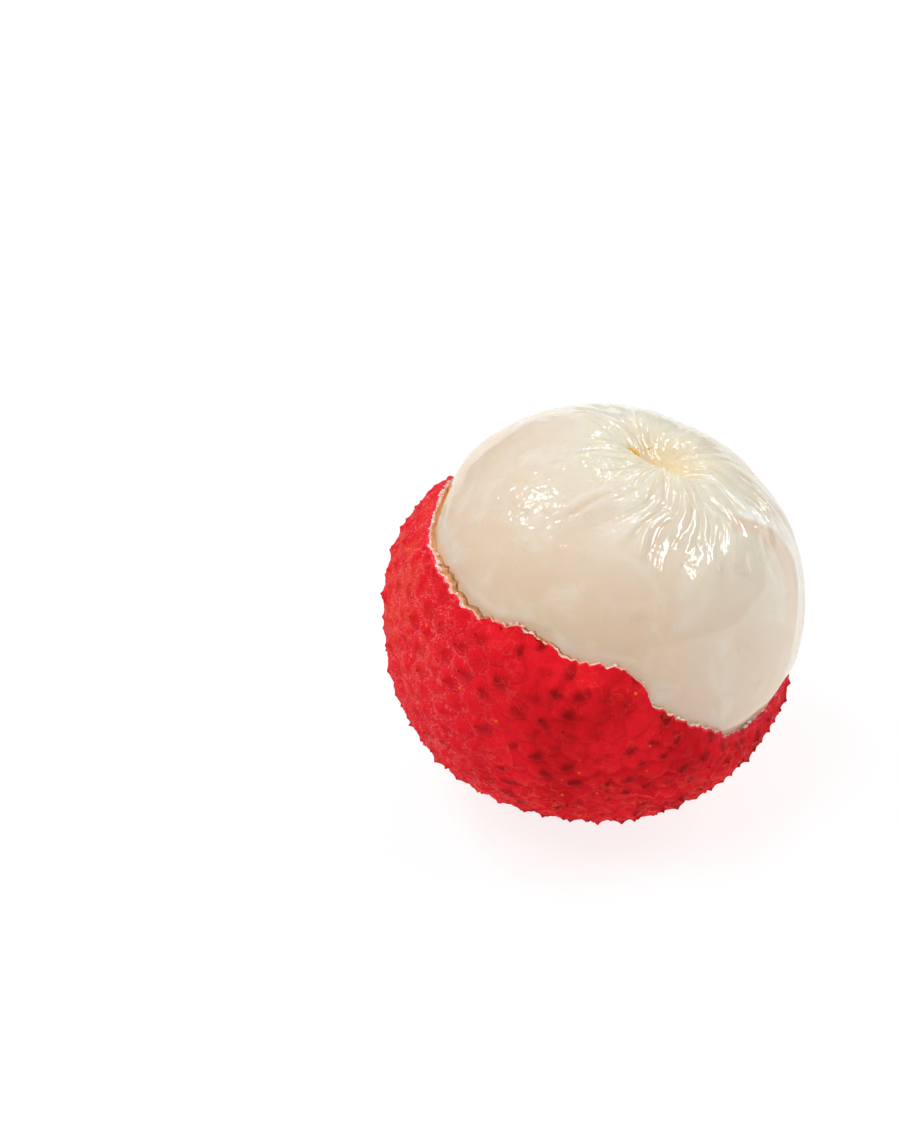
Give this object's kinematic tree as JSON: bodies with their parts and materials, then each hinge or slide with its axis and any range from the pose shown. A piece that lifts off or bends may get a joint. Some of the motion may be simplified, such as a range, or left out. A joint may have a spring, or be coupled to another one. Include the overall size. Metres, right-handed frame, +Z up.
{
  "type": "half-peeled lychee",
  "caption": "Ball of pale, glossy fruit flesh with a puckered dimple, resting in the torn lower cup of its rough, pointed red rind.",
  "frame": {"origin": "middle of the small flat under the rind that the fruit rests on", "axes": "+Z up. -Y is the side with the lower torn edge towards the viewer, +X the side where the flesh bulges over the rind."},
  "size_m": [0.037, 0.0376, 0.0356],
  "materials": {
    "rind": "thin, stiff, semi-matt red skin with pointed bumps, pale pink inside and along the torn edge",
    "flesh": "wet, glossy, translucent creamy white fruit flesh"
  },
  "bodies": {
    "root": {"rind": "rind", "flesh": "flesh"}
  },
  "joints": []
}
